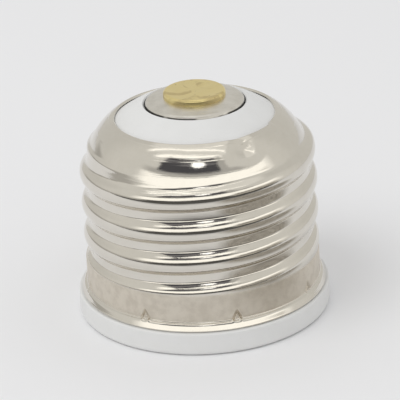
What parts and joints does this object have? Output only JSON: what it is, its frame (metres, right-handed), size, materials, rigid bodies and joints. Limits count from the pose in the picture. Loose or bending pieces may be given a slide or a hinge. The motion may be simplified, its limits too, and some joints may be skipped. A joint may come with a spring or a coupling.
{
  "type": "lamp socket adapter",
  "caption": "Screw-in adapter: a medium Edison screw plug outside with a candelabra Edison socket inside a white flanged insulator.",
  "frame": {"origin": "centre of the flange's flat face, which is the mouth of the small socket and the face it stands on", "axes": "+Z along the screw axis, from the socket mouth to the plug's centre contact; +X to the right in the picture's view, -Y toward the viewer"},
  "size_m": [0.028, 0.028, 0.0253],
  "materials": {
    "nickel_shell": "bright nickel plate on brass sheet, satin on the skirt",
    "white_moulding": "white thermoset moulding, low gloss",
    "socket_shell": "smooth satin sheet",
    "nickel_cup": "nickel plate, fine scuffs",
    "brass_rivet": "plain brass with a dull smear",
    "bronze_strip": "spring bronze strip",
    "brass_strip": "plain brass strip"
  },
  "bodies": {
    "root": {"outer_shell": "nickel_shell", "insulator_body": "white_moulding", "inner_shell": "socket_shell", "contact_cup": "nickel_cup", "centre_rivet": "brass_rivet", "contact_tongue": "bronze_strip", "link_strip": "brass_strip"}
  },
  "joints": []
}
